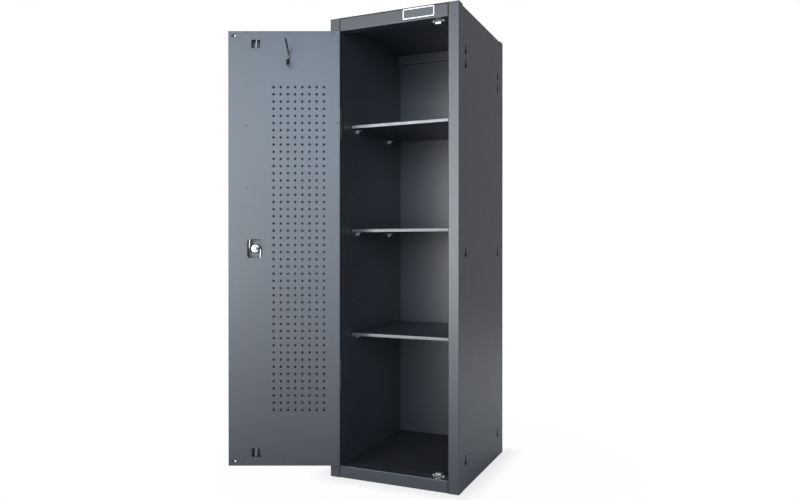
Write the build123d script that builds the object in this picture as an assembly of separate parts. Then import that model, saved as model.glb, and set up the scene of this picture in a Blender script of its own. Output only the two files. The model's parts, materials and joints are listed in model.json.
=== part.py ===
from build123d import *
from math import atan, cos, degrees, pi, radians, sin
import os

# A narrow sheet steel locker with three shelves and one door, which stands open.
# The front faces -Y, +Z is up, the origin is the middle of the base, and sizes are in millimetres.

# Carcass
CABINET_WIDTH = 380.0
CABINET_DEPTH = 420.0
CABINET_HEIGHT = 1280.0
PANEL_SHEET = 1.0
FRAME_SHEET = 1.2
FRAME_BEND = 1.8  # radius at mid sheet of the folds in posts and rails
POST_WIDTH = 30.0
POST_DEPTH = 30.0
POST_LIP = 10.0
SIDE_STEP = 0.6  # the outer side panels stand this far in from the front posts
TOP_RAIL_HEIGHT = 37.0
BOTTOM_RAIL_HEIGHT = 34.0
REAR_RAIL_HEIGHT = 32.0
REAR_RAIL_DEPTH = 9.0
FLOOR_LAP = 10.0  # reach of the bottom rail over the floor panel
TOP_BEND = 4.0  # outside radius of the top panel's side folds
TOP_LIP = 16.0

# Keyhole slots in the outer side panels, and square shelf holes in the inner ones
KEYHOLE_INSET = 57.0
KEYHOLE_HEAD = 10.5
KEYHOLE_SIDES = 12
KEYHOLE_SLOT = 5.0
KEYHOLE_RISE = 22.5
KEYHOLE_FROM_BASE = 68.0
KEYHOLE_BELOW_MIDDLE = 18.0
KEYHOLES_FROM_TOP = (118.5, 157.0)
SHELF_HOLE = 7.0
SHELF_HOLE_FIRST = 187.5
SHELF_HOLE_PITCH = 99.25
SHELF_HOLE_ROWS = 10
SHELF_HOLE_FRONT = 106.0
SHELF_HOLE_SPACING = 221.0

# Shelves and the clips that carry them
SHELF_ROWS = {"lower": 2, "middle": 5, "upper": 8}
SHELF_SETBACK = 69.0
SHELF_GAP = 2.0
SHELF_FLANGE = 9.0
SHELF_NOSE = 7.5  # radius of the rolled front edge
CLIP_SHEET = 1.5
CLIP_WIDTH = 18.0
CLIP_REACH = 14.0
CLIP_DROP = 11.0
CLIP_SEAT = 2.0  # height of the shelf's flange above the middle of its hole
CLIP_TONGUE = 5.0
CLIP_HOOK = 3.0

# Door
DOOR_GAP = 7.0
DOOR_DEPTH = 20.0
DOOR_SHEET = 1.0
DOOR_EDGE_BEND = 2.0
DOOR_LIP = 12.0
DOOR_RIM = 3.0  # edge of the outer skin left bare round the inner panel
DOOR_OPEN = 156.1  # degrees from closed
STIFFENER_INSET = 42.0
STIFFENER_FLANGE = 10.0
STIFFENER_END_GAP = 40.0

# Perforations of the inner door panel, drawn square to keep the sheet light
PERF_WIDTH = 5.4
PERF_PITCH = 19.7
PERF_HINGE_MARGIN = 43.5
PERF_FREE_MARGIN = 120.0
PERF_END_MARGIN = 150.0

# Lift-off hinges
HINGE_FROM_MIDDLE = 345.0
HINGE_LENGTH = 84.0
HINGE_LEAF = 1.2
HINGE_LEAF_WIDTH = 18.0
HINGE_LEAF_SETBACK = 1.0
HINGE_PROUD = 3.0  # distance of the pin in front of the door
HINGE_FROM_POST = 5.3  # distance of the pin from the post's inner face
KNUCKLE_DIAMETER = 6.0
KNUCKLE_GAP = 0.3
PIN_DIAMETER = 3.2
PIN_CLEARANCE = 0.05

# Two-point lock
ROUND_SIDES = 24  # flats on a round that nothing turns on, which keeps the solids light
LOCK_INSET = 72.5
LOCK_WINDOW = (42.0, 52.0)
LOCK_WINDOW_RADIUS = 9.0
LOCK_BARREL = 19.0
LOCK_BARREL_LENGTH = 9.2
LOCK_BEZEL = 30.0
LOCK_BEZEL_DEPTH = 4.0
LOCK_NUT_WIDTH = 24.0
LOCK_NUT_DEPTH = 4.0
SPINDLE = 14.0
SPINDLE_SQUARE = 9.0
SPINDLE_STUB = 8.0
RUNNING_CLEARANCE = 0.05
HANDLE_LENGTH = 44.0
HANDLE_WIDTH = 11.0
HANDLE_HEIGHT = 16.0
HANDLE_CORNER = 3.5
HANDLE_COLLAR = 24.0
HANDLE_COLLAR_DEPTH = 5.0
CAM_FACE = 9.7  # depth of the cam behind the door's front
CAM_SHEET = 2.0
CAM_RADIUS = 15.5  # from the spindle to each rod's pin
CAM_ARM = 15.0
CAM_CORNER = 4.0
CAM_NUT = 22.0
CAM_NUT_DEPTH = 5.5

# Lock rods and their guides
ROD_DIAMETER = 5.5
ROD_SIDES = 12
ROD_DEPTH = 14.8  # rod centre behind the door's front
ROD_BEND = 1.8
ROD_RECESS = 2.0  # rod ends below the door's end faces when unlocked
ROD_PIN_PROUD = 2.0
ROD_HEAD = 8.0
ROD_HEAD_DEPTH = 1.5
GUIDE_INSET = 76.0
GUIDE_OFFSET = 1.6  # rods start and end this far off the guide's middle
GUIDE_SIZE = (22.0, 8.0)
GUIDE_SLOT = (10.5, 6.4)
RAIL_SLOT = (16.0, 10.0)
ROD_WINDOW = (24.5, 23.5)
ROD_WINDOW_FROM_END = 36.0

# Coat hook on the inner door panel
HOOK_INSET = 166.0
HOOK_FROM_TOP = 56.0
HOOK_WIRE = 4.6
HOOK_WIRE_SIDES = 6
HOOK_PLATE = (13.0, 30.0)
HOOK_PLATE_CORNER = 3.0
HOOK_PLATE_SHEET = 2.0
HOOK_ARM_REACH = 58.0
HOOK_ARM_RISE = 20.5
HOOK_ARM_BEND = 8.0
HOOK_BEND_STEPS = 6  # straight runs in the bottom bend
HOOK_DROP = 41.0
HOOK_TIP_REACH = 36.0
HOOK_TIP_BELOW = 15.0

# Magnetic catches on the rails
CATCH_FROM_POST = 36.0
CATCH_GAP = 0.6
CATCH_BODY = (20.0, 14.0, 10.0)
CATCH_BASE = (38.0, 1.5)
CATCH_BASE_DEPTH = 9.0
POLE_SHEET = 1.2
POLE_SPACING = 6.0
POLE_HEIGHT = 8.0
POLE_PROUD = 0.3

# Buffers at the door's free corners
BUFFER_INSET = 15.0
BUFFER_FROM_END = 13.0
BUFFER_LENGTH = 13.0
BUFFER_WIDTH = 6.0
BUFFER_HEIGHT = 1.2

# Places that several pieces share
side_x = CABINET_WIDTH / 2
panel_x = side_x - SIDE_STEP
cavity_x = panel_x - PANEL_SHEET
opening_x = side_x - POST_WIDTH
front_y = -CABINET_DEPTH / 2
back_y = CABINET_DEPTH / 2 - PANEL_SHEET
post_rear_y = front_y + POST_DEPTH
rear_post_y = CABINET_DEPTH / 2 - POST_DEPTH
frame_top = CABINET_HEIGHT - PANEL_SHEET
opening_top = CABINET_HEIGHT - TOP_RAIL_HEIGHT
opening_bottom = BOTTOM_RAIL_HEIGHT
floor_top = BOTTOM_RAIL_HEIGHT - FRAME_SHEET
door_low = opening_bottom + DOOR_GAP
door_high = opening_top - DOOR_GAP
door_middle = (door_low + door_high) / 2
hinge_edge = -opening_x + DOOR_GAP
free_edge = opening_x - DOOR_GAP
hinge_x = -opening_x + HINGE_FROM_POST
hinge_y = front_y - HINGE_PROUD
door_back = front_y + DOOR_DEPTH
lock_x = free_edge - LOCK_INSET
guide_x = free_edge - GUIDE_INSET
rod_y = front_y + ROD_DEPTH
rod_rise = door_high - ROD_RECESS - door_middle


def disc(diameter):
    """A round that nothing turns on, drawn with flats."""
    return RegularPolygon(diameter / 2, ROUND_SIDES)


def block(x, y, z):
    """A box between a low and a high limit on each axis."""
    middle = Pos((x[0] + x[1]) / 2, (y[0] + y[1]) / 2, (z[0] + z[1]) / 2)
    return middle * Box(abs(x[1] - x[0]), abs(y[1] - y[0]), abs(z[1] - z[0]))


def folded(*points):
    """The section of a folded sheet along its mid line."""
    return trace(FilletPolyline(*points, radius=FRAME_BEND), line_width=FRAME_SHEET)


def along_x(section, start, end):
    """A section drawn in Y and Z, run along X."""
    return Pos(start, 0, 0) * extrude(Plane.YZ * section, end - start)


def post_line(outer_x, inner_x, front, rear):
    """The mid line of a C section post for the +X side, open at the rear, with a lip on its inner return."""
    half = FRAME_SHEET / 2
    return [
        (outer_x - half, rear),
        (outer_x - half, front + half),
        (inner_x + half, front + half),
        (inner_x + half, rear - half),
        (inner_x + half + POST_LIP, rear - half),
    ]


def front_post():
    """The front post wraps the locker's corner, and the side panel butts on its rear edge."""
    section = folded(*post_line(side_x, opening_x, front_y, post_rear_y))
    return extrude(section, frame_top)


def rear_post():
    """The rear post is hidden behind the panels, so its folds are drawn sharp."""
    line = Polyline(*post_line(cavity_x, opening_x + PANEL_SHEET, rear_post_y, back_y))
    return extrude(trace(line, line_width=FRAME_SHEET), frame_top)


def other_side(piece):
    return mirror(piece, about=Plane.YZ)


def rod_slot(low, high):
    """The slot that a lock rod enters, through a rail between two heights."""
    x = (guide_x - RAIL_SLOT[0] / 2, guide_x + RAIL_SLOT[0] / 2)
    y = (rod_y - RAIL_SLOT[1] / 2, rod_y + RAIL_SLOT[1] / 2)
    return block(x, y, (low, high))


def top_front_rail():
    half = FRAME_SHEET / 2
    section = folded(
        (post_rear_y, opening_top + half),
        (front_y + half, opening_top + half),
        (front_y + half, frame_top - half),
        (post_rear_y, frame_top - half),
    )
    rail = along_x(section, -opening_x, opening_x)
    return rail - rod_slot(opening_top, opening_top + FRAME_SHEET)


def bottom_front_rail():
    half = FRAME_SHEET / 2
    section = folded(
        (post_rear_y, half),
        (front_y + half, half),
        (front_y + half, opening_bottom - half),
        (post_rear_y + FLOOR_LAP, opening_bottom - half),
    )
    rail = along_x(section, -opening_x, opening_x)
    return rail - rod_slot(floor_top, opening_bottom)


def top_rear_rail():
    half = FRAME_SHEET / 2
    low = frame_top - REAR_RAIL_HEIGHT
    front = back_y - REAR_RAIL_DEPTH
    section = folded(
        (back_y, low + half),
        (front + half, low + half),
        (front + half, frame_top - half),
        (back_y, frame_top - half),
    )
    return along_x(section, -opening_x, opening_x)


def keyhole():
    head = RegularPolygon(KEYHOLE_HEAD / 2, KEYHOLE_SIDES)
    return head + Pos(0, KEYHOLE_RISE / 2) * Rectangle(KEYHOLE_SLOT, KEYHOLE_RISE)


def side_panel():
    """The outer sheet of the +X side. Its top edge drops between the posts to clear the top panel's fold."""
    rear = CABINET_DEPTH / 2
    sheet = Pos((post_rear_y + rear) / 2, frame_top / 2) * Rectangle(rear - post_rear_y, frame_top)
    fold = CABINET_HEIGHT - TOP_BEND
    drop = frame_top - fold
    sheet -= Pos(0, fold + drop / 2) * Rectangle(rear_post_y - post_rear_y, drop)
    heights = [KEYHOLE_FROM_BASE, CABINET_HEIGHT / 2 - KEYHOLE_BELOW_MIDDLE]
    heights += [CABINET_HEIGHT - distance for distance in KEYHOLES_FROM_TOP]
    column = CABINET_DEPTH / 2 - KEYHOLE_INSET
    places = [(y, z) for y in (-column, column) for z in heights]
    sheet -= Locations(places) * keyhole()
    return along_x(sheet, cavity_x, panel_x)


def shelf_hole_height(row):
    return SHELF_HOLE_FIRST + row * SHELF_HOLE_PITCH


def shelf_columns():
    front = front_y + SHELF_HOLE_FRONT
    return (front, front + SHELF_HOLE_SPACING)


def inner_panel():
    """The inner sheet of the +X side, with the rows of shelf holes."""
    depth = back_y - post_rear_y
    sheet = Pos((back_y + post_rear_y) / 2, frame_top / 2) * Rectangle(depth, frame_top)
    rows = range(SHELF_HOLE_ROWS)
    places = [(y, shelf_hole_height(row)) for y in shelf_columns() for row in rows]
    sheet -= Locations(places) * Rectangle(SHELF_HOLE, SHELF_HOLE)
    return along_x(sheet, opening_x, opening_x + PANEL_SHEET)


def back_panel():
    return block((-cavity_x, cavity_x), (back_y, back_y + PANEL_SHEET), (0, frame_top))


def top_panel():
    """A pan with rounded side folds between the posts, and flat over the posts and rails."""
    y = (post_rear_y, rear_post_y)
    low = CABINET_HEIGHT - TOP_LIP
    pan = block((-cavity_x, cavity_x), y, (low, CABINET_HEIGHT))
    pan = fillet(pan.edges().filter_by(Axis.Y).group_by(Axis.Z)[-1], TOP_BEND)
    inside_x = cavity_x - PANEL_SHEET
    hollow = block((-inside_x, inside_x), y, (low, frame_top))
    hollow = fillet(hollow.edges().filter_by(Axis.Y).group_by(Axis.Z)[-1], TOP_BEND - PANEL_SHEET)
    ends = block((-side_x, side_x), (front_y, post_rear_y), (frame_top, CABINET_HEIGHT))
    ends += block((-panel_x, panel_x), (rear_post_y, CABINET_DEPTH / 2), (frame_top, CABINET_HEIGHT))
    return pan - hollow + ends


def floor_panel():
    """A tray upside down, its edges turned down to the ground."""
    tray = block((-opening_x, opening_x), (post_rear_y, back_y), (0, floor_top))
    inside_x = opening_x - PANEL_SHEET
    inside_y = (post_rear_y + PANEL_SHEET, back_y - PANEL_SHEET)
    return tray - block((-inside_x, inside_x), inside_y, (0, floor_top - PANEL_SHEET))


def rolled(tray, inset):
    """Rounds the front edge of a shelf's top."""
    return fillet(tray.edges().group_by(Axis.Z)[-1].sort_by(Axis.Y)[0], SHELF_NOSE - inset)


def shelf(row):
    """A tray upside down with a rolled front edge, standing on its clips."""
    low = shelf_hole_height(row) + CLIP_SEAT
    high = low + SHELF_FLANGE
    x = opening_x - SHELF_GAP
    y = (front_y + SHELF_SETBACK, back_y - SHELF_GAP)
    tray = rolled(block((-x, x), y, (low, high)), 0)
    x -= PANEL_SHEET
    y = (y[0] + PANEL_SHEET, y[1] - PANEL_SHEET)
    return tray - rolled(block((-x, x), y, (low, high - PANEL_SHEET)), PANEL_SHEET)


def shelf_clip(y, row):
    """A plated angle on the +X inner panel: a ledge, a plate below it and a tongue in the hole."""
    hole = shelf_hole_height(row)
    seat = hole + CLIP_SEAT
    width = (y - CLIP_WIDTH / 2, y + CLIP_WIDTH / 2)
    clip = block((opening_x - CLIP_REACH, opening_x), width, (seat - CLIP_SHEET, seat))
    clip += block((opening_x - CLIP_SHEET, opening_x), width, (seat - CLIP_DROP, seat))
    tongue_y = (y - CLIP_TONGUE / 2, y + CLIP_TONGUE / 2)
    tongue_x = (opening_x, opening_x + PANEL_SHEET + CLIP_HOOK)
    return clip + block(tongue_x, tongue_y, (hole - CLIP_TONGUE / 2, hole + CLIP_SEAT))


def shelf_clips(row):
    clips = [shelf_clip(y, row) for y in shelf_columns()]
    clips += [other_side(clip) for clip in clips]
    return Compound(children=clips)


def catch_box(size, x, y, base, up):
    """A box of the catch, standing out from the rail's face at base in the direction up."""
    return block((x - size[0] / 2, x + size[0] / 2), (y, y + size[1]), sorted((base, base + up * size[2])))


def catch(base, up):
    """A magnetic catch on a rail: its case and its two poles."""
    x = opening_x - CATCH_FROM_POST
    front = door_back + CATCH_GAP
    foot_y = front + (CATCH_BODY[1] - CATCH_BASE_DEPTH) / 2
    case = catch_box(CATCH_BODY, x, front, base, up)
    case += catch_box((CATCH_BASE[0], CATCH_BASE_DEPTH, CATCH_BASE[1]), x, foot_y, base, up)
    pole_size = (POLE_SHEET, CATCH_BODY[1] + POLE_PROUD - POLE_SHEET, POLE_HEIGHT)
    pole_low = base + up * (CATCH_BODY[2] - POLE_HEIGHT) / 2
    sides = (-POLE_SPACING / 2, POLE_SPACING / 2)
    poles = [catch_box(pole_size, x + side, front - POLE_PROUD, pole_low, up) for side in sides]
    for pole in poles:
        case -= pole
    return case, Compound(children=poles)


def at_depth(section, start, end):
    """A section drawn as seen from the front, in X and Z, run back from one depth in the door to another."""
    return Pos(0, front_y + start, 0) * extrude(Plane.XZ * section, start - end)


def door_area(inset):
    width = free_edge - hinge_edge - 2 * inset
    height = door_high - door_low - 2 * inset
    return Pos((free_edge + hinge_edge) / 2, door_middle) * Rectangle(width, height)


def door_outer_skin():
    """The door's front sheet with its four edges turned back and a lip turned in."""
    depth = DOOR_DEPTH - DOOR_SHEET
    skin = at_depth(door_area(0), 0, depth)
    skin = fillet(skin.edges().group_by(Axis.Y)[0], DOOR_EDGE_BEND)
    hollow = at_depth(door_area(DOOR_SHEET), DOOR_SHEET, depth - DOOR_SHEET)
    hollow = fillet(hollow.edges().group_by(Axis.Y)[0], DOOR_EDGE_BEND - DOOR_SHEET)
    skin -= hollow
    skin -= at_depth(door_area(DOOR_LIP), depth - DOOR_SHEET, depth)
    hole = Pos(lock_x, door_middle) * disc(LOCK_BARREL + 2 * RUNNING_CLEARANCE)
    skin -= at_depth(hole, 0, DOOR_SHEET)
    x = (guide_x - GUIDE_SLOT[0] / 2, guide_x + GUIDE_SLOT[0] / 2)
    y = (rod_y - GUIDE_SLOT[1] / 2, rod_y + GUIDE_SLOT[1] / 2)
    skin -= block(x, y, (door_high - DOOR_SHEET, door_high))
    return skin - block(x, y, (door_low, door_low + DOOR_SHEET))


def perforations():
    width = free_edge - hinge_edge
    columns = int((width - PERF_HINGE_MARGIN - PERF_FREE_MARGIN) / PERF_PITCH) + 1
    rows = int((door_high - door_low - 2 * PERF_END_MARGIN) / PERF_PITCH) + 1
    x = hinge_edge + PERF_HINGE_MARGIN + (columns - 1) * PERF_PITCH / 2
    hole = Rectangle(PERF_WIDTH, PERF_WIDTH)
    return Pos(x, door_middle) * GridLocations(PERF_PITCH, PERF_PITCH, columns, rows) * hole


def door_inner_panel():
    """The perforated inner sheet, with a window at the lock and one at each rod's end."""
    sheet = door_area(DOOR_RIM) - perforations()
    sheet -= Pos(lock_x, door_middle) * RectangleRounded(*LOCK_WINDOW, LOCK_WINDOW_RADIUS)
    for z in (door_low + ROD_WINDOW_FROM_END, door_high - ROD_WINDOW_FROM_END):
        sheet -= Pos(guide_x, z) * Rectangle(*ROD_WINDOW)
    return at_depth(sheet, DOOR_DEPTH - DOOR_SHEET, DOOR_DEPTH)


def door_stiffener():
    """A Z section behind the free edge that ties the two door sheets together."""
    z = (door_low + STIFFENER_END_GAP, door_high - STIFFENER_END_GAP)
    web_x = free_edge - STIFFENER_INSET
    front = front_y + DOOR_SHEET
    rear = door_back - DOOR_SHEET
    web = block((web_x - DOOR_SHEET, web_x), (front, rear), z)
    web += block((web_x - DOOR_SHEET, web_x + STIFFENER_FLANGE), (front, front + DOOR_SHEET), z)
    return web + block((web_x - STIFFENER_FLANGE, web_x), (rear - DOOR_SHEET, rear), z)


def knuckle(z, bore):
    ring = Circle(KNUCKLE_DIAMETER / 2) - Circle(bore)
    return Pos(hinge_x, hinge_y, z[0]) * extrude(ring, z[1] - z[0])


def hinge(middle):
    """A lift-off hinge: the leaf on the post, the leaf on the door, and the pin in the post's knuckle."""
    low = middle - HINGE_LENGTH / 2
    high = middle + HINGE_LENGTH / 2
    leaf_y = (front_y + HINGE_LEAF_SETBACK, front_y + HINGE_LEAF_WIDTH)
    rear = hinge_y + KNUCKLE_DIAMETER / 2
    tab_y = (rear - HINGE_LEAF, leaf_y[0])
    frame_x = (-opening_x, -opening_x + HINGE_LEAF)
    frame_z = (low, middle - KNUCKLE_GAP / 2)
    frame_leaf = block(frame_x, leaf_y, (low, high)) + block(frame_x, tab_y, frame_z)
    frame_leaf += block((-opening_x, hinge_x), (rear - HINGE_LEAF, rear), frame_z)
    frame_leaf += knuckle(frame_z, PIN_DIAMETER / 2)
    door_x = (hinge_edge - HINGE_LEAF, hinge_edge)
    door_z = (middle + KNUCKLE_GAP / 2, high)
    door_leaf = block(door_x, leaf_y, (low, high)) + block(door_x, tab_y, door_z)
    door_leaf += knuckle(door_z, PIN_DIAMETER / 2 + PIN_CLEARANCE)
    pin = Pos(hinge_x, hinge_y, low) * extrude(Circle(PIN_DIAMETER / 2), HINGE_LENGTH)
    return frame_leaf, door_leaf, pin


def at_lock(section, start, end):
    """A section centred on the lock's spindle, run back through the door."""
    return at_depth(Pos(lock_x, door_middle) * section, start, end)


def lock_body():
    """The lock's bezel on the door's front and its threaded barrel through the skin."""
    body = at_lock(disc(LOCK_BEZEL), -LOCK_BEZEL_DEPTH, 0)
    body += at_lock(disc(LOCK_BARREL), 0, LOCK_BARREL_LENGTH)
    return body - at_lock(Circle(SPINDLE / 2 + RUNNING_CLEARANCE), -LOCK_BEZEL_DEPTH, LOCK_BARREL_LENGTH)


def lock_nut():
    section = RegularPolygon(LOCK_NUT_WIDTH / 2, 6, major_radius=False)
    section -= disc(LOCK_BARREL + 2 * RUNNING_CLEARANCE)
    return at_lock(section, DOOR_SHEET, DOOR_SHEET + LOCK_NUT_DEPTH)


def turn_handle():
    """The wing handle outside and its spindle, which ends in a square and a threaded stub."""
    collar_back = -LOCK_BEZEL_DEPTH - KNUCKLE_GAP
    collar_front = collar_back - HANDLE_COLLAR_DEPTH
    wing = chamfer(Rectangle(HANDLE_LENGTH, HANDLE_WIDTH).vertices(), HANDLE_CORNER)
    handle = at_lock(wing, collar_front - HANDLE_HEIGHT, collar_front)
    handle += at_lock(disc(HANDLE_COLLAR), collar_front, collar_back)
    handle += at_lock(Circle(SPINDLE / 2), collar_back, CAM_FACE)
    handle += at_lock(Rectangle(SPINDLE_SQUARE, SPINDLE_SQUARE), CAM_FACE, CAM_FACE + CAM_SHEET)
    stub_end = CAM_FACE + CAM_SHEET + CAM_NUT_DEPTH
    return handle + at_lock(disc(SPINDLE_STUB), CAM_FACE + CAM_SHEET, stub_end)


def cam_plate():
    """The cam, with a square hole for the spindle and a hole at each end for a rod."""
    outline = Rectangle(2 * CAM_RADIUS + CAM_ARM, CAM_ARM)
    section = chamfer(outline.vertices(), CAM_CORNER)
    square = SPINDLE_SQUARE + 2 * RUNNING_CLEARANCE
    section -= Rectangle(square, square)
    pin_hole = Circle(ROD_DIAMETER / 2 + RUNNING_CLEARANCE)
    section -= Locations((-CAM_RADIUS, 0), (CAM_RADIUS, 0)) * pin_hole
    return at_lock(section, CAM_FACE, CAM_FACE + CAM_SHEET)


def cam_nut():
    """The round nut that holds the cam on the spindle."""
    front = CAM_FACE + CAM_SHEET
    ring = disc(CAM_NUT) - disc(SPINDLE_STUB + 2 * RUNNING_CLEARANCE)
    return at_lock(ring, front, front + CAM_NUT_DEPTH)


def lock_rod(side):
    """The rod to the upper (side 1) or lower (side -1) end, headed in front of the cam and leaning to its guide."""
    pin_end = CAM_FACE - ROD_PIN_PROUD
    offset = CAM_RADIUS + side * (lock_x - guide_x) + GUIDE_OFFSET
    lean = degrees(atan(offset / rod_rise))
    length = rod_rise / cos(radians(lean))
    bend = [(0, ROD_DEPTH - ROD_BEND, 0), (0, ROD_DEPTH, side * ROD_BEND)]
    path = Polyline((0, pin_end, 0), *bend, (0, ROD_DEPTH, side * length))
    start = Plane(origin=(0, pin_end, 0), z_dir=(0, 1, 0))
    section = start * RegularPolygon(ROD_DIAMETER / 2, ROD_SIDES)
    rod = sweep(section, path=path, transition=Transition.RIGHT)
    rod += Pos(0, pin_end, 0) * extrude(Plane.XZ * disc(ROD_HEAD), -ROD_HEAD_DEPTH)
    place = Pos(lock_x + side * CAM_RADIUS, front_y, door_middle) * Rot(0, -lean, 0)
    return place * rod


def rod_guide(end, inward):
    """A nylon block inside a door end, with a slot that the rod slides in."""
    width, height = GUIDE_SIZE
    rear = door_back - 2 * DOOR_SHEET
    front = rod_y - (rear - rod_y)
    z = sorted((end + inward * DOOR_SHEET, end + inward * (DOOR_SHEET + height)))
    guide = block((guide_x - width / 2, guide_x + width / 2), (front - DOOR_SHEET, rear), z)
    slot_x = (guide_x - GUIDE_SLOT[0] / 2, guide_x + GUIDE_SLOT[0] / 2)
    slot_y = (rod_y - GUIDE_SLOT[1] / 2, rod_y + GUIDE_SLOT[1] / 2)
    return guide - block(slot_x, slot_y, z)


def coat_hook():
    """A bent wire hook, with a long arm above and a return hook below, and its plate on the panel."""
    x = free_edge - HOOK_INSET
    z = door_high - HOOK_FROM_TOP
    stand = HOOK_PLATE_SHEET + HOOK_WIRE / 2
    arm = Vector(HOOK_ARM_REACH - stand, HOOK_ARM_RISE).normalized() * HOOK_ARM_BEND
    radius = (HOOK_TIP_REACH - stand) / 2
    points = [(HOOK_ARM_REACH, HOOK_ARM_RISE), (stand + arm.X, arm.Y), (stand, -HOOK_ARM_BEND)]
    for step in range(HOOK_BEND_STEPS + 1):
        turn = pi * step / HOOK_BEND_STEPS
        points.append((stand + radius * (1 - cos(turn)), radius * (1 - sin(turn)) - HOOK_DROP))
    line = Polyline(*points, (HOOK_TIP_REACH, -HOOK_TIP_BELOW))
    section = RegularPolygon(HOOK_WIRE / 2, HOOK_WIRE_SIDES, major_radius=False)
    start = Plane(origin=line @ 0, x_dir=(0, 0, 1), z_dir=line % 0)
    wire = sweep(start * section, path=line, transition=Transition.RIGHT)
    stand_up = Pos(x, door_back, z) * Plane.YZ.location
    plate = Rectangle(*HOOK_PLATE)
    plate = Pos(x, z) * chamfer(plate.vertices(), HOOK_PLATE_CORNER)
    return stand_up * wire, at_depth(plate, DOOR_DEPTH, DOOR_DEPTH + HOOK_PLATE_SHEET)


def door_buffers():
    """A rubber pad at each free corner of the door's inner side."""
    pads = []
    for z in (door_low + BUFFER_FROM_END, door_high - BUFFER_FROM_END):
        pad = Pos(free_edge - BUFFER_INSET, z) * Rectangle(BUFFER_LENGTH, BUFFER_WIDTH)
        pads.append(at_depth(pad, DOOR_DEPTH, DOOR_DEPTH + BUFFER_HEIGHT))
    return Compound(children=pads)


right_front = front_post()
right_rear = rear_post()
right_side = side_panel()
right_inner = inner_panel()
carcass = {
    "front_right_post": right_front,
    "front_left_post": other_side(right_front),
    "rear_right_post": right_rear,
    "rear_left_post": other_side(right_rear),
    "top_front_rail": top_front_rail(),
    "bottom_front_rail": bottom_front_rail(),
    "top_rear_rail": top_rear_rail(),
    "right_side_panel": right_side,
    "left_side_panel": other_side(right_side),
    "right_inner_panel": right_inner,
    "left_inner_panel": other_side(right_inner),
    "back_panel": back_panel(),
    "top_panel": top_panel(),
    "floor_panel": floor_panel(),
}
for level, row in SHELF_ROWS.items():
    carcass[f"{level}_shelf"] = shelf(row)
    carcass[f"{level}_shelf_clips"] = shelf_clips(row)
for end, base, up in (("upper", opening_top, -1), ("lower", opening_bottom, 1)):
    carcass[f"{end}_catch_case"], carcass[f"{end}_catch_poles"] = catch(base, up)

hook, hook_plate = coat_hook()
door = {
    "door_outer_skin": door_outer_skin(),
    "door_inner_panel": door_inner_panel(),
    "door_stiffener": door_stiffener(),
    "lock_body": lock_body(),
    "lock_nut": lock_nut(),
    "turn_handle": turn_handle(),
    "lock_cam_plate": cam_plate(),
    "cam_nut": cam_nut(),
    "coat_hook": hook,
    "coat_hook_plate": hook_plate,
    "door_buffers": door_buffers(),
}
for end, side, height in (("upper", 1, door_high), ("lower", -1, door_low)):
    frame_leaf, door_leaf, pin = hinge(door_middle + side * HINGE_FROM_MIDDLE)
    carcass[f"{end}_hinge_frame_leaf"] = frame_leaf
    carcass[f"{end}_hinge_pin"] = pin
    door[f"{end}_hinge_door_leaf"] = door_leaf
    door[f"{end}_rod_guide"] = rod_guide(height, -side)
    door[f"{end}_lock_rod"] = lock_rod(side)

# The door is drawn closed and then swung open on its hinge pins
swing = Pos(hinge_x, hinge_y, 0) * Rot(0, 0, -DOOR_OPEN) * Pos(-hinge_x, -hinge_y, 0)
nodes = carcass | {name: swing * piece for name, piece in door.items()}

os.makedirs("parts", exist_ok=True)
for name, piece in nodes.items():
    export_step(piece, f"parts/{name}.step")
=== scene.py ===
import json
import math

import bmesh
import bpy
from mathutils import Matrix, Vector


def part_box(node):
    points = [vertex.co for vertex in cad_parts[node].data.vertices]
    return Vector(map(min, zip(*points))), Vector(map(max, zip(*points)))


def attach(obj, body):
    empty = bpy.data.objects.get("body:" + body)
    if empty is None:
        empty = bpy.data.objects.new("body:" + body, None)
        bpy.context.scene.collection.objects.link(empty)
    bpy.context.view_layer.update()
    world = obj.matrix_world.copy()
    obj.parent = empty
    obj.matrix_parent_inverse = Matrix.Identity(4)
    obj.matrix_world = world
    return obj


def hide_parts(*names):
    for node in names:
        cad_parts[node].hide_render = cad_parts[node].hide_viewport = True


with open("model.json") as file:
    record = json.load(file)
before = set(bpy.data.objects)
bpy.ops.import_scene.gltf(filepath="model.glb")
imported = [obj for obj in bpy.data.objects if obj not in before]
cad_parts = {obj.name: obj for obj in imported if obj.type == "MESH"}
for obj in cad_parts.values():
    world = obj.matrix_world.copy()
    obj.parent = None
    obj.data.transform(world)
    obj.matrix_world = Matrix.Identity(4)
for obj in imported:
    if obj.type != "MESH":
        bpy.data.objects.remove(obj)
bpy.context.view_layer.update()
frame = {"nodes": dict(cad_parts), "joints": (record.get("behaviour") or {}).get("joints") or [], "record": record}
nodes = frame["nodes"]
scene = bpy.context.scene
scene.view_settings.view_transform = "Standard"

# The view: a short lens at chest height, to the right of the locker's middle and almost level.
# Its place was solved from the carcass's corners.
camera = bpy.data.objects.new("camera", bpy.data.cameras.new("camera"))
scene.collection.objects.link(camera)
camera.location = (0.7746, -1.9093, 0.6406)
camera.rotation_euler = (math.radians(89.82), 0, math.radians(23.85))
camera.data.sensor_width = 36
camera.data.lens = 31.185
scene.camera = camera

# The studio: white paper under and behind the locker, four softboxes in front of it, one at the right
# and one behind. The rest of the room is dark, so the satin paint shows the softboxes and falls off below.
MM = 0.001


def linear(hex_colour):
    """The linear value of an sRGB hex colour."""
    channels = [int(hex_colour[i:i + 2], 16) / 255 for i in (1, 3, 5)]
    return [c / 12.92 if c <= 0.04045 else ((c + 0.055) / 1.055) ** 2.4 for c in channels] + [1]


def add(tree, kind, inputs=(), **settings):
    """Adds a node with its settings. An input is a value, or a socket that is linked to it."""
    node = tree.nodes.new(kind)
    for name, value in settings.items():
        setattr(node, name, value)
    for name, value in dict(inputs).items():
        if isinstance(value, bpy.types.NodeSocket):
            tree.links.new(value, node.inputs[name])
        else:
            node.inputs[name].default_value = value
    return node


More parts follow.
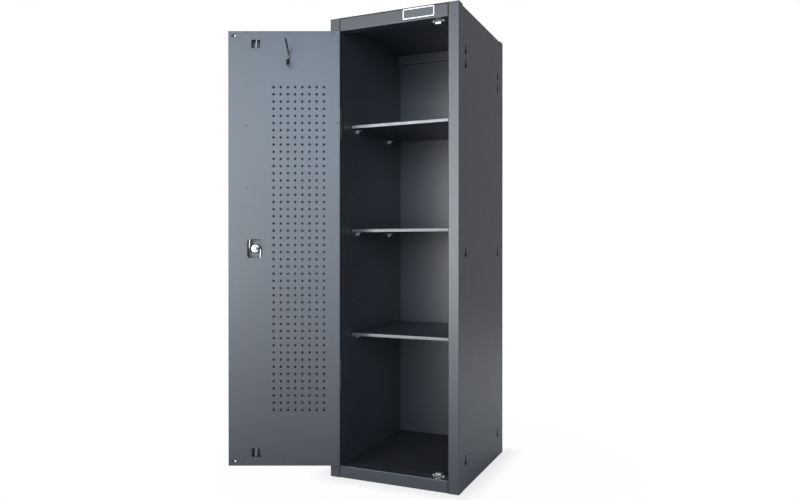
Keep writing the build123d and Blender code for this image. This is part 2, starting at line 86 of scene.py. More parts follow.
def new_material(name):
    """A new material and its cleared tree."""
    material = bpy.data.materials.new(name)
    material.use_nodes = True
    material.node_tree.nodes.clear()
    return material, material.node_tree


def mesh_of(shape, name):
    """A finished shape as a mesh."""
    mesh = bpy.data.meshes.new(name)
    shape.to_mesh(mesh)
    shape.free()
    return mesh


SOFTBOXES = (
    ("left_upper_softbox", (-1.05, -2.7, 1.7), (-1.05, 0.0, 1.7), (1.9, 1.0), 40, "#ffffff"),
    ("left_lower_softbox", (-1.05, -2.7, 0.7), (-1.05, 0.0, 0.7), (1.9, 1.0), 66, "#ffffff"),
    ("right_upper_softbox", (0.42, -2.7, 1.7), (0.42, 0.0, 1.7), (1.04, 1.0), 34, "#c8e2fa"),
    ("right_lower_softbox", (0.42, -2.7, 0.7), (0.42, 0.0, 0.7), (1.04, 1.0), 14, "#c8e2fa"),
    ("side_softbox", (1.75, -2.5, 1.2), (0.0, 0.0, 0.8), (1.5, 2.0), 88, "#eef4ff"),
    ("rear_softbox", (-0.7, 2.7, 1.2), (-0.2, 0.2, 0.7), (1.8, 1.8), 60, "#eef4ff"),
)
for name, place, target, size, power, tint in SOFTBOXES:
    lamp = bpy.data.lights.new(name, "AREA")
    lamp.shape = "RECTANGLE"
    lamp.size, lamp.size_y = size
    lamp.energy = power
    lamp.color = linear(tint)[:3]
    stand = bpy.data.objects.new(name, lamp)
    scene.collection.objects.link(stand)
    stand.location = place
    stand.rotation_euler = (Vector(target) - Vector(place)).to_track_quat("-Z", "Y").to_euler()

WHITE = (1, 1, 1, 1)
room = bpy.data.worlds.new("studio_room")
scene.world = room
room.use_nodes = True
tree = room.node_tree
tree.nodes.clear()
path = add(tree, "ShaderNodeLightPath").outputs
heading = add(tree, "ShaderNodeTexCoord").outputs["Generated"]
depth = add(tree, "ShaderNodeSeparateXYZ", {0: heading}).outputs["Y"]
level = add(tree, "ShaderNodeMapRange", {
    "Value": depth, "From Min": -0.4, "From Max": 0.6, "To Min": 0.03, "To Max": 0.52})
white = add(tree, "ShaderNodeBackground", {"Color": WHITE, "Strength": 1.0})
dim = add(tree, "ShaderNodeBackground", {"Color": linear("#e6e8ee"), "Strength": level.outputs["Result"]})
seen = add(tree, "ShaderNodeMixShader", {0: path["Is Camera Ray"], 1: dim.outputs[0], 2: white.outputs[0]})
add(tree, "ShaderNodeOutputWorld", {"Surface": seen.outputs[0]})

PAPER_RADIUS = 9.0
PAPER_SINK = 0.5 * MM
PAPER_FADE = (0.3, 0.85)
CONTACT_SHADOW = 70 * MM
FOOTPRINT = (190 * MM, 210 * MM, 1.0)
shape = bmesh.new()
bmesh.ops.create_circle(shape, cap_ends=True, segments=64, radius=PAPER_RADIUS)
floor = bpy.data.objects.new("studio_floor", mesh_of(shape, "studio_floor"))
scene.collection.objects.link(floor)
floor.location.z = -PAPER_SINK
paper, tree = new_material("white_paper_floor")
where = add(tree, "ShaderNodeTexCoord").outputs["Object"]
reach = add(tree, "ShaderNodeVectorMath", {0: where}, operation="LENGTH")
fade = add(tree, "ShaderNodeMapRange", {
    "Value": reach.outputs["Value"], "From Min": PAPER_FADE[0], "From Max": PAPER_FADE[1], "To Min": 0.97},
    interpolation_type="SMOOTHSTEP")
# The paper is darkest along the locker's base, where little light gets in.
corner = add(tree, "ShaderNodeVectorMath", {0: where}, operation="ABSOLUTE")
beyond = add(tree, "ShaderNodeVectorMath", {0: corner.outputs[0], 1: FOOTPRINT}, operation="SUBTRACT")
beyond = add(tree, "ShaderNodeVectorMath", {0: beyond.outputs[0], 1: (0, 0, 0)}, operation="MAXIMUM")
beyond = add(tree, "ShaderNodeVectorMath", {0: beyond.outputs[0]}, operation="LENGTH")
contact = add(tree, "ShaderNodeMapRange", {
    "Value": beyond.outputs["Value"], "From Max": CONTACT_SHADOW, "To Min": 0.74},
    interpolation_type="SMOOTHSTEP")
fade = add(tree, "ShaderNodeMath", {0: fade.outputs["Result"], 1: contact.outputs["Result"]},
           operation="MULTIPLY")
# For glossy rays only, the paper glows, brightest a pace in front of the locker: a painted reflection for the
# coated sheets to mirror.
depth = add(tree, "ShaderNodeSeparateXYZ", {0: where}).outputs["Y"]
ahead = add(tree, "ShaderNodeMapRange", {"Value": depth, "From Min": -0.4, "From Max": -1.4, "To Max": 0.66})
behind = add(tree, "ShaderNodeMapRange", {"Value": depth, "From Max": 0.8, "To Max": 0.3})
glow_by_depth = add(tree, "ShaderNodeMath", {0: ahead.outputs["Result"], 1: behind.outputs["Result"]},
          operation="MAXIMUM")
path = add(tree, "ShaderNodeLightPath").outputs
mirrored = add(tree, "ShaderNodeMath", {0: glow_by_depth.outputs[0], 1: path["Is Glossy Ray"]}, operation="MULTIPLY")
matt = add(tree, "ShaderNodeBsdfDiffuse", {"Color": linear("#c4c4c4")})
sheen = add(tree, "ShaderNodeEmission", {"Color": WHITE, "Strength": mirrored.outputs[0]})
under = add(tree, "ShaderNodeAddShader", {0: matt.outputs[0], 1: sheen.outputs[0]})
glow = add(tree, "ShaderNodeEmission", {"Color": WHITE, "Strength": 1.0})
seen = add(tree, "ShaderNodeMath", {0: fade.outputs[0], 1: path["Is Camera Ray"]}, operation="MULTIPLY")
blend = add(tree, "ShaderNodeMixShader", {0: seen.outputs[0], 1: under.outputs[0], 2: glow.outputs[0]})
add(tree, "ShaderNodeOutputMaterial", {"Surface": blend.outputs[0]})
floor.data.materials.append(paper)

# The carcass: posts, rails, panels and shelves of cold rolled sheet, folded, spot welded and then coated.
# Polyester powder bakes to a satin charcoal film, slightly uneven in gloss, with a fine orange peel.
powder_coat, tree = new_material("charcoal_polyester_powder_coat")
where = add(tree, "ShaderNodeTexCoord").outputs["Object"]
film = add(tree, "ShaderNodeTexNoise", {"Vector": where, "Scale": 1 / (120 * MM), "Detail": 2.0})
shade = add(tree, "ShaderNodeMix", {
    "Factor": film.outputs["Fac"], 6: linear("#202327"), 7: linear("#26292e")}, data_type="RGBA")
patches = add(tree, "ShaderNodeTexNoise", {"Vector": where, "Scale": 1 / (30 * MM), "Detail": 3.0})
gloss = add(tree, "ShaderNodeMapRange", {"Value": patches.outputs["Fac"], "To Min": 0.35, "To Max": 0.41})
# The peel's cells are about 2 mm across. They are drawn 5 mm across so that they show.
peel = add(tree, "ShaderNodeTexNoise", {"Vector": where, "Scale": 1 / (5 * MM), "Detail": 1.0})
relief = add(tree, "ShaderNodeBump", {"Height": peel.outputs["Fac"], "Strength": 0.25, "Distance": 0.1 * MM})
surface = add(tree, "ShaderNodeBsdfPrincipled", {
    "Base Color": shade.outputs[2], "Roughness": gloss.outputs["Result"], "Normal": relief.outputs["Normal"],
    "IOR": 1.52})
add(tree, "ShaderNodeOutputMaterial", {"Surface": surface.outputs[0]})
finish_of = {entry["node"]: entry["material_slot"] for entry in frame["record"]["subparts"]}


def dress(finish, material):
    """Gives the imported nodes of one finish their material."""
    for name, node in nodes.items():
        if finish_of[name] == finish:
            node.data.materials.clear()
            node.data.materials.append(material)


dress("powder_coat", powder_coat)


# The back: one flat sheet, set in between the side panels and spot welded to the rear posts.
# The electrodes leave a shallow round mark about every 95 mm, coated over with the rest.
def piece(name, mesh, body, replaces=(), material=None):
    """Puts a finished mesh into the scene, on its body and in its material slot."""
    obj = bpy.data.objects.new(name, mesh)
    scene.collection.objects.link(obj)
    if material:
        mesh.materials.clear()
        mesh.materials.append(material)
    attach(obj, body)
    if replaces:
        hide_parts(*replaces)


def node_group(name, inputs):
    """A new Geometry Nodes tree that takes points and named inputs, with its input sockets and its output."""
    kinds = {int: "Int", float: "Float", bpy.types.Object: "Object", bpy.types.Material: "Material"}
    tree = bpy.data.node_groups.new(name, "GeometryNodeTree")
    tree.interface.new_socket("Points", in_out="INPUT", socket_type="NodeSocketGeometry")
    tree.interface.new_socket("Piece", in_out="OUTPUT", socket_type="NodeSocketGeometry")
    for label, value in inputs.items():
        tree.interface.new_socket(label, in_out="INPUT", socket_type="NodeSocket" + kinds[type(value)])
    return tree, add(tree, "NodeGroupInput").outputs, add(tree, "NodeGroupOutput")


def end_tree(tree, last, sockets, output):
    """Ends a tree with plain geometry in its finish."""
    plain = add(tree, "GeometryNodeRealizeInstances", {"Geometry": last.outputs[0]})
    coated = add(tree, "GeometryNodeSetMaterial", {
        "Geometry": plain.outputs[0], "Material": sockets["Finish"]})
    tree.links.new(coated.outputs[0], output.inputs[0])


def grow(tree, inputs, places=()):
    """Runs a tree on places, each a point and a turn, and gives the result as a plain mesh."""
    mesh = bpy.data.meshes.new(tree.name)
    mesh.from_pydata([point for point, turn in places], [], [])
    turns = mesh.attributes.new("turn", "FLOAT_VECTOR", "POINT")
    for entry, (point, turn) in zip(turns.data, places):
        entry.vector = turn
    holder = bpy.data.objects.new(tree.name, mesh)
    scene.collection.objects.link(holder)
    modifier = holder.modifiers.new(tree.name, "NODES")
    modifier.node_group = tree
    for socket in tree.interface.items_tree:
        if socket.name in inputs:
            modifier[socket.identifier] = inputs[socket.name]
    depsgraph = bpy.context.evaluated_depsgraph_get()
    result = bpy.data.meshes.new_from_object(holder.evaluated_get(depsgraph), depsgraph=depsgraph)
    holder.modifiers.remove(modifier)
    bpy.data.objects.remove(holder)
    return result


def rounded_outline(width, height, radius, steps=6):
    """Points round a rectangle with rounded corners, anticlockwise."""
    points = []
    for index, (side, end) in enumerate(((1, -1), (1, 1), (-1, 1), (-1, -1))):
        for corner in range(steps + 1):
            angle = math.radians(-90 + 90 * index + 90 * corner / steps)
            points.append(Vector((side * (width / 2 - radius) + radius * math.cos(angle),
                                  end * (height / 2 - radius) + radius * math.sin(angle), 0)))
    return points


def plate(name, outline, low, high, hole=None):
    """A flat plate between two heights. For a frame, the hole has as many points as the outline."""
    shape = bmesh.new()
    edges = [(outline, low), (outline, high)] + ([(hole, high), (hole, low)] if hole else [])
    rings = [[shape.verts.new(point + Vector((0, 0, height))) for point in edge] for edge, height in edges]
    walls = list(zip(rings, rings[1:] + rings[:1])) if hole else [rings]
    if not hole:
        shape.faces.new(rings[1])
        shape.faces.new(rings[0][::-1])
    for first, second in walls:
        for i in range(len(outline)):
            j = (i + 1) % len(outline)
            shape.faces.new((first[i], first[j], second[j], second[i]))
    bmesh.ops.recalc_face_normals(shape, faces=shape.faces)
    return mesh_of(shape, name)


TO_FRONT = Matrix.Rotation(math.pi / 2, 4, "X")
TO_REAR = Matrix.Rotation(-math.pi / 2, 4, "X")
BACK_SHEET = 0.5 * MM
BACK_CORNER = 1 * MM
back_low, back_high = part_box("back_panel")
back_middle = (back_low + back_high) / 2
back_edge = rounded_outline(back_high.x - back_low.x, back_high.z - back_low.z, BACK_CORNER)
back = plate("back_sheet", back_edge, 0, BACK_SHEET)
back.transform(Matrix.Translation((back_middle.x, back_low.y, back_middle.z)) @ TO_REAR)
piece("back_sheet", back, "carcass", ["back_panel"], powder_coat)
WELD_MARK = {"Diameter": 5 * MM, "Rise": 0.8 * MM, "Finish": powder_coat}
BACK_MARK = {"Diameter": 7 * MM, "Rise": 0.45 * MM, "Finish": powder_coat}
WELD_SPACING = 95 * MM
WELD_FROM_EDGE = 12 * MM
# Turns for small parts on upward, downward and rearward faces.
UPRIGHT, HUNG, ON_REAR = ((angle, 0, 0) for angle in (0, math.pi, -math.pi / 2))
weld_tree, sockets, output = node_group("weld_marks", WELD_MARK)
half = add(weld_tree, "ShaderNodeMath", {0: sockets["Diameter"], 1: 0.5}, operation="MULTIPLY")
spread = add(weld_tree, "ShaderNodeCombineXYZ", {
    "X": half.outputs[0], "Y": half.outputs[0], "Z": sockets["Rise"]})
button = add(weld_tree, "GeometryNodeMeshUVSphere", {"Segments": 12, "Rings": 6, "Radius": 1.0})
button = add(weld_tree, "GeometryNodeSetShadeSmooth", {"Geometry": button.outputs[0]})
button = add(weld_tree, "GeometryNodeTransform", {"Geometry": button.outputs[0], "Scale": spread.outputs[0]})
turn = add(weld_tree, "GeometryNodeInputNamedAttribute", {"Name": "turn"}, data_type="FLOAT_VECTOR")
marks = add(weld_tree, "GeometryNodeInstanceOnPoints", {
    "Points": sockets["Points"], "Instance": button.outputs[0], "Rotation": turn.outputs[0]})
end_tree(weld_tree, marks, sockets, output)
rows = int((back_high.z - 2 * WELD_FROM_EDGE) / WELD_SPACING)
step = (back_high.z - 2 * WELD_FROM_EDGE) / rows
back_places = [((x, back_low.y + BACK_SHEET, WELD_FROM_EDGE + row * step), ON_REAR) for row in range(rows + 1)
               for x in (back_low.x + WELD_FROM_EDGE, back_high.x - WELD_FROM_EDGE)]
piece("back_weld_marks", grow(weld_tree, BACK_MARK, back_places), "carcass")

# The side panels: flat sheets between the front posts and the rear edge, punched with keyhole slots so that
# lockers can be hung or bolted in a row. Their top edge drops to clear the top panel's folds.
KEYHOLE_HEAD = 14 * MM
KEYHOLE_SLOT = 6.5 * MM
KEYHOLE_RISE = 21.5 * MM
KEYHOLE_STEPS = 18
KEYHOLE_COLUMNS = (-153 * MM, 153 * MM)
KEYHOLE_HEIGHTS = (68 * MM, 622 * MM, 1123 * MM, 1161.5 * MM)
TOP_CLEARANCE = 3 * MM
SAME_POINT = 0.01 * MM


def loop(name, points):
    """A closed line of edges, as an object for a tree to read."""
    mesh = bpy.data.meshes.new(name)
    mesh.from_pydata(points, [(i, (i + 1) % len(points)) for i in range(len(points))], [])
    line = bpy.data.objects.new(name, mesh)
    scene.collection.objects.link(line)
    return line


def end_sheet(tree, outlines, sockets, output):
    """Ends a tree with a punched sheet: the space between its outlines, raised to the sheet's thickness."""
    cuts = add(tree, "GeometryNodeJoinGeometry")
    for outline in outlines:
        tree.links.new(outline.outputs[0], cuts.inputs[0])
    front = add(tree, "GeometryNodeFillCurve", {"Curve": cuts.outputs[0]})
    rear = add(tree, "GeometryNodeFlipFaces", {"Mesh": front.outputs[0]})
    raised = add(tree, "GeometryNodeExtrudeMesh", {
        "Mesh": front.outputs[0], "Offset Scale": sockets["Sheet"], "Individual": False})
    sheet = add(tree, "GeometryNodeJoinGeometry")
    for part in (rear, raised):
        tree.links.new(part.outputs[0], sheet.inputs[0])
    sheet = add(tree, "GeometryNodeMergeByDistance", {"Geometry": sheet.outputs[0], "Distance": SAME_POINT})
    end_tree(tree, sheet, sockets, output)


side_low, side_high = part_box("right_side_panel")
rear_post_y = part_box("rear_right_post")[0].y
drop = side_high.z - TOP_CLEARANCE
side_edge = loop("side_edge", [
    (side_low.y, 0, 0), (side_high.y, 0, 0), (side_high.y, side_high.z, 0), (rear_post_y, side_high.z, 0),
    (rear_post_y, drop, 0), (side_low.y, drop, 0)])
throat = math.asin(KEYHOLE_SLOT / KEYHOLE_HEAD)
arc = 2 * math.pi - 2 * throat
head = [math.pi / 2 + throat + arc * i / KEYHOLE_STEPS for i in range(KEYHOLE_STEPS + 1)]
slot_end = [(KEYHOLE_SLOT / 2, KEYHOLE_RISE, 0), (-KEYHOLE_SLOT / 2, KEYHOLE_RISE, 0)]
keyhole = loop("keyhole", [
    (KEYHOLE_HEAD / 2 * math.cos(a), KEYHOLE_HEAD / 2 * math.sin(a), 0) for a in head] + slot_end)
side_inputs = {
    "Edge": side_edge, "Keyhole": keyhole, "Sheet": side_high.x - side_low.x, "Finish": powder_coat}
tree, sockets, output = node_group("keyhole_sheet", side_inputs)
edge = add(tree, "GeometryNodeObjectInfo", {"Object": sockets["Edge"]})
edge = add(tree, "GeometryNodeMeshToCurve", {"Mesh": edge.outputs["Geometry"]})
punch = add(tree, "GeometryNodeObjectInfo", {"Object": sockets["Keyhole"]})
punch = add(tree, "GeometryNodeMeshToCurve", {"Mesh": punch.outputs["Geometry"]})
holes = add(tree, "GeometryNodeInstanceOnPoints", {"Points": sockets["Points"], "Instance": punch.outputs[0]})
holes = add(tree, "GeometryNodeRealizeInstances", {"Geometry": holes.outputs[0]})
end_sheet(tree, (edge, holes), sockets, output)
keyhole_places = [((y, z, 0), UPRIGHT) for y in KEYHOLE_COLUMNS for z in KEYHOLE_HEIGHTS]
for side in ("left", "right"):
    sheet = grow(tree, side_inputs, keyhole_places)
    # The sheet is drawn flat, with X to the rear and Y upwards, and is then stood on edge.
    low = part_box(f"{side}_side_panel")[0]
    sheet.transform(Matrix(((0, 0, 1, low.x), (1, 0, 0, 0), (0, 1, 0, 0), (0, 0, 0, 1))))
    piece(f"{side}_side_sheet", sheet, "carcass", [f"{side}_side_panel"])
for line in (side_edge, keyhole):
    bpy.data.objects.remove(line)


# The corner seams: thin dark strips where the rails' cut ends butt on the front posts, a painted shadow of the
# open joint.
# They stand just proud of the coat, streaked, dark and dull.
def mottled(name, cell, detail, shades, gloss, finish=(), stretch=(1, 1, 1)):
    """A material that drifts from one shade and roughness to another over cells of about the given size."""
    material, tree = new_material(name)
    where = add(tree, "ShaderNodeTexCoord").outputs["Object"]
    where = add(tree, "ShaderNodeMapping", {"Vector": where, "Scale": stretch}).outputs[0]
    noise = add(tree, "ShaderNodeTexNoise", {"Vector": where, "Scale": 1 / cell, "Detail": detail})
    drift = noise.outputs["Fac"]
    shade = add(tree, "ShaderNodeMix", {"Factor": drift, 6: linear(shades[0]), 7: linear(shades[1])},
                data_type="RGBA")
    rough = add(tree, "ShaderNodeMapRange", {"Value": drift, "To Min": gloss[0], "To Max": gloss[1]})
    surface = add(tree, "ShaderNodeBsdfPrincipled", {
        "Base Color": shade.outputs[2], "Roughness": rough.outputs["Result"], **dict(finish)})
    add(tree, "ShaderNodeOutputMaterial", {"Surface": surface.outputs[0]})
    return material


def gathered(name, meshes):
    """Several meshes as one."""
    shape = bmesh.new()
    for mesh in meshes:
        shape.from_mesh(mesh)
    return mesh_of(shape, name)


SEAM_WIDTH = 3.2 * MM
SEAM_RISE = 0.15 * MM
SEAM_CORNER = SEAM_WIDTH / 2.1
# Painted shadow: the strips are coloured near black where the joint is in shade.
seam_shadow_coat = mottled("dark_seam_sealer", 3 * MM, 2.0, ("#0d0f11", "#16191c"), (0.75, 0.75),
                 {"Specular IOR Level": 0.2})
seam_strips = []
for rail in ("top_front_rail", "bottom_front_rail"):
    low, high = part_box(rail)
    outline = rounded_outline(SEAM_WIDTH, high.z - low.z - SEAM_WIDTH, SEAM_CORNER)
    for x in (low.x, high.x):
        bead = plate("bead", outline, -SEAM_RISE, SEAM_RISE)
        bead.transform(Matrix.Translation((x, low.y, (low.z + high.z) / 2)) @ TO_FRONT)
        seam_strips.append(bead)
piece("corner_seams", gathered("corner_seams", seam_strips), "carcass", material=seam_shadow_coat)

# The hinges and the floor: leaves of strip steel rolled round a pin, and a pan let in between the sides.
# They are welded on before coating. Their coat is drawn darker and matter than the rest; on the floor this is
# painted shade.
dark_coat_and_shade = mottled("thin_powder_coat", 8 * MM, 3.0, ("#101214", "#181a1d"), (0.55, 0.7), {"IOR": 1.45})
for end in ("upper", "lower"):
    for leaf in ("door", "frame"):
        nodes[f"{end}_hinge_{leaf}_leaf"].data.materials[0] = dark_coat_and_shade
# The floor pan has the same coat as the rest, so its darker coat is painted shade.
nodes["floor_panel"].data.materials[0] = dark_coat_and_shade

# The name plate on the top rail: a blank lacquered plate with a pale printed border, stuck on with film.
# The lacquer shows the brushing under it, and the ink is even, with a faint mark of the screen.
PLATE_SIZE = (89 * MM, 27 * MM)
PLATE_SHEET = 0.5 * MM
PLATE_CORNER = 2 * MM
PLATE_BORDER = 2.1 * MM
PRINT_FILM = 0.12 * MM
PLATE_MIDDLE = (76.5 * MM, 1263.5 * MM)
plate_lacquer = mottled("charcoal_lacquered_aluminium", 20 * MM, 3.0, ("#2b2e32", "#33373b"), (0.34, 0.5),
                        stretch=(1, 1, 40))
ink = mottled("pale_screen_print", 1.5 * MM, 1.0, ("#e4e6e8", "#d9dbdd"), (0.45, 0.45))
rail_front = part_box("top_front_rail")[0].y
outer = rounded_outline(*PLATE_SIZE, PLATE_CORNER)
inner = rounded_outline(*(length - 2 * PLATE_BORDER for length in PLATE_SIZE), PLATE_CORNER / 2)
blank = plate("blank_plate", outer, 0, PLATE_SHEET)
border = plate("plate_border", outer, PLATE_SHEET, PLATE_SHEET + PRINT_FILM, inner)
for mesh, material in ((blank, plate_lacquer), (border, ink)):
    mesh.transform(Matrix.Translation((PLATE_MIDDLE[0], rail_front, PLATE_MIDDLE[1])) @ TO_FRONT)
    piece(mesh.name, mesh, "carcass", material=material)

# The shelves: trays of folded sheet, open below, with a tight bend along the front edge.
# They are coated apart from the carcass and lie loose on their clips.
LEVELS = ("lower", "middle", "upper")
SHELF_SHEET = 1 * MM
SHELF_BEND = 1.6 * MM
LIP_DEPTH = 0.2 * MM
GENTLE = math.radians(32)
# A painted highlight: the lip is painted paler and made smoother towards hand height, most on the upper shelf.
SHEEN_HEIGHTS = (0.7, 0.98)
lip_sheen_coat, tree = new_material("rubbed_powder_coat")
where = add(tree, "ShaderNodeTexCoord").outputs["Object"]
height = add(tree, "ShaderNodeSeparateXYZ", {0: where}).outputs["Z"]
sheen_by_height = add(tree, "ShaderNodeMapRange", {
    "Value": height, "From Min": SHEEN_HEIGHTS[0], "From Max": SHEEN_HEIGHTS[1]})
sheen_patches = add(tree, "ShaderNodeTexNoise", {"Vector": where, "Scale": 1 / (25 * MM), "Detail": 4.0})
pale = add(tree, "ShaderNodeMix", {
    "Factor": sheen_by_height.outputs["Result"], 6: linear("#32353a"), 7: linear("#8d9094")}, data_type="RGBA")
shade = add(tree, "ShaderNodeMix", {
    "Factor": sheen_patches.outputs["Fac"], 6: pale.outputs[2], 7: linear("#3a3d42")}, data_type="RGBA")
gloss = add(tree, "ShaderNodeMapRange", {"Value": sheen_patches.outputs["Fac"], "To Min": 0.26, "To Max": 0.36})
surface = add(tree, "ShaderNodeBsdfPrincipled", {
    "Base Color": shade.outputs[2], "Roughness": gloss.outputs["Result"], "IOR": 1.52})
add(tree, "ShaderNodeOutputMaterial", {"Surface": surface.outputs[0]})


def smooth(mesh):
    """The same mesh, shaded smooth over gentle angles."""
    mesh.shade_smooth()
    mesh.set_sharp_from_angle(angle=GENTLE)
    return mesh


for level in LEVELS:
    low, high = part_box(f"{level}_shelf")
    shape = bmesh.new()
    block = Matrix.Translation((low + high) / 2) @ Matrix.Diagonal((*(high - low), 1))
    bmesh.ops.create_cube(shape, matrix=block)
    underside = min(shape.faces, key=lambda face: face.calc_center_median().z)
    upper_edges = max(shape.faces, key=lambda face: face.calc_center_median().z).edges[:]
    bmesh.ops.inset_region(shape, faces=[underside], thickness=SHELF_SHEET, use_even_offset=True)
    bmesh.ops.inset_region(shape, faces=[underside], depth=SHELF_SHEET - (high.z - low.z))
    bmesh.ops.bevel(shape, geom=upper_edges, offset=SHELF_BEND, segments=4, profile=0.5, affect="EDGES")
    for face in shape.faces:
        # The front lip's faces take the second coat, with the painted highlight.
        face.material_index = int(face.calc_center_median().y < low.y + LIP_DEPTH)
    tray = smooth(mesh_of(shape, f"{level}_tray"))
    for coat in (powder_coat, lip_sheen_coat):
        tray.materials.append(coat)
    piece(tray.name, tray, "carcass", [f"{level}_shelf"])

# The shelf clips: spring steel pressings with a rolled bend and a gusset, plated and hooked into the wall.
# The zinc is thin and greyed, with faint marks from the press and the barrel.
METAL = {"Metallic": 1.0}
dull_zinc = mottled("greyed_zinc_plated_steel", 4 * MM, 4.0, ("#a6a7a9", "#929396"), (0.4, 0.55), METAL)
dress("zinc_plate", dull_zinc)


def swept(name, sections):
    """A solid through outlines with as many points each, closed at both ends."""
    shape = bmesh.new()
    rings = [[shape.verts.new(point) for point in section] for section in sections]
    for first, second in zip(rings, rings[1:]):
        for i in range(len(first)):
            j = (i + 1) % len(first)
            shape.faces.new((first[i], first[j], second[j], second[i]))
    shape.faces.new(rings[0])
    shape.faces.new(rings[-1])
    bmesh.ops.recalc_face_normals(shape, faces=shape.faces)
    return mesh_of(shape, name)


def slab(profile, width):
    """A profile in X and Z, run along Y to both sides of it."""
    return swept("slab", [[Vector((x, y, z)) for x, z in profile] for y in (-width / 2, width / 2)])


def set_out(name, model, finish, places):
    """Copies of a small part at places, each a point and a turn, as one plain mesh."""
    single = bpy.data.objects.new(name, model)
    scene.collection.objects.link(single)
    inputs = {"Part": single, "Finish": finish}
    tree, sockets, output = node_group(name, inputs)
    part = add(tree, "GeometryNodeObjectInfo", {"Object": sockets["Part"]})
    turn = add(tree, "GeometryNodeInputNamedAttribute", {"Name": "turn"}, data_type="FLOAT_VECTOR")
    copies = add(tree, "GeometryNodeInstanceOnPoints", {
        "Points": sockets["Points"], "Instance": part.outputs["Geometry"], "Rotation": turn.outputs[0]})
    end_tree(tree, copies, sockets, output)
    mesh = grow(tree, inputs, places)
    bpy.data.objects.remove(single)
    return mesh


CLIP_SHEET = 1.5 * MM
CLIP_REACH = 14 * MM
CLIP_DROP = 11 * MM
CLIP_WIDTH = 18 * MM
CLIP_BEND = 3 * MM
CLIP_TONGUE = 5 * MM
CLIP_HOOK = 4 * MM
CLIP_GUSSET = 1.6 * MM
TONGUE_PLAY = 0.5 * MM
BEND_STEPS = 6


def rolled(radius):
    """The clip's bend at one radius, from its ledge to its wall side."""
    angles = [math.radians(90 + 90 * step / BEND_STEPS) for step in range(BEND_STEPS + 1)]
    return [(CLIP_BEND + radius * math.cos(a), -CLIP_BEND + radius * math.sin(a)) for a in angles]


ledge = [(0, -CLIP_DROP), (CLIP_SHEET, -CLIP_DROP), *rolled(CLIP_BEND - CLIP_SHEET)[::-1],
         (CLIP_REACH, -CLIP_SHEET), (CLIP_REACH, 0), *rolled(CLIP_BEND)]
gusset = [(CLIP_SHEET, -CLIP_DROP + CLIP_SHEET), (CLIP_REACH - CLIP_SHEET, -CLIP_SHEET),
          (CLIP_SHEET, -CLIP_SHEET)]
tongue = [(-CLIP_HOOK, -CLIP_TONGUE + TONGUE_PLAY), (CLIP_SHEET, -CLIP_TONGUE + TONGUE_PLAY),
          (CLIP_SHEET, -TONGUE_PLAY), (-CLIP_HOOK, -TONGUE_PLAY)]
clip = smooth(gathered("shelf_clip", [
    slab(ledge, CLIP_WIDTH), slab(gusset, CLIP_GUSSET), slab(tongue, CLIP_TONGUE)]))
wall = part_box("left_inner_panel")[1].x
clip_places = []
for level in LEVELS:
    low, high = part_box(f"{level}_shelf_clips")
    for y in (low.y + CLIP_WIDTH / 2, high.y - CLIP_WIDTH / 2):
        clip_places += [((wall, y, high.z), (0, 0, 0)), ((-wall, y, high.z), (0, 0, math.pi))]
piece("shelf_clips", set_out("shelf_clip", clip, dull_zinc, clip_places), "carcass",
      [f"{level}_shelf_clips" for level in LEVELS])

# The magnetic catches: a block of magnet and poles on a dark carrier, over a foot with a screw at each end.
# The block is bright zinc plate with faint marks from the barrel, and the foot is duller, like the clips.
# The carrier is near black and matt, painted shade standing in for the shadow under the rail.
zinc = mottled("bright_zinc_plated_steel", 4 * MM, 4.0, ("#dcdcd8", "#c6c7c6"), (0.2, 0.34), METAL)
carrier_shadow_coat = mottled("dark_moulded_resin", 3 * MM, 2.0, ("#1a1a1b", "#242426"), (0.6, 0.6))


def turned(name, profile, steps, ring=False):
    """A turned part from its radii and heights in millimetres, closed on its axis or into a ring."""
    shape = bmesh.new()
    rings = []
    for radius, height in profile:
        angles = [2 * math.pi * i / steps for i in range(steps if radius else 1)]
        rings.append([shape.verts.new((radius * MM * math.cos(a), radius * MM * math.sin(a), height * MM))
                      for a in angles])
    for first, second in zip(rings, rings[1:] + rings[:1] if ring else rings[1:]):
        for i in range(steps):
            corners = [level[k % len(level)] for level, k in (
                (first, i), (first, (i + 1) % steps), (second, (i + 1) % steps), (second, i))]
            shape.faces.new(list(dict.fromkeys(corners)))
    bmesh.ops.recalc_face_normals(shape, faces=shape.faces)
    return smooth(mesh_of(shape, name))


SCREW_PROFILE = ((0, 0.9), (0.9, 0.9), (1.1, 1.7), (1.7, 1.6), (2.3, 1.1), (2.5, 0.4), (2.5, -0.3), (0, -0.3))
SCREW_FROM_MIDDLE = 14.5 * MM
CASES = ["upper_catch_case", "lower_catch_case"]
# Each part of a catch: its name, its outline, the heights it spans, its material and what it replaces.
CATCH_PARTS = (
    ("catch_feet", (38 * MM, 9 * MM, 4.4 * MM), (0, 1.5 * MM), dull_zinc, []),
    ("catch_carriers", (20 * MM, 14 * MM, 2.2 * MM), (1.4 * MM, 4.6 * MM), carrier_shadow_coat, CASES),
    ("catch_blocks", (18 * MM, 12 * MM, 1.5 * MM), (4.6 * MM, 8.4 * MM), zinc, []),
)
foot_height = CATCH_PARTS[0][2][1]
catch_places, screw_places = [], []
for case, turn, inward in zip(CASES, (HUNG, UPRIGHT), (-1, 1)):
    low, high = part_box(case)
    middle = (low + high) / 2
    rail_face = high.z if inward < 0 else low.z
    catch_places.append(((middle.x, middle.y, rail_face), turn))
    for x in (middle.x - SCREW_FROM_MIDDLE, middle.x + SCREW_FROM_MIDDLE):
        screw_places.append(((x, middle.y, rail_face + inward * foot_height), turn))
for name, outline, heights, material, replaced in CATCH_PARTS:
    model = plate(name, rounded_outline(*outline), *heights)
    piece(name, set_out(name, model, material, catch_places), "carcass", replaced)
screw_head = turned("screw_head", SCREW_PROFILE, 20)
piece("catch_screws", set_out("screw_head", screw_head, dull_zinc, screw_places), "carcass")

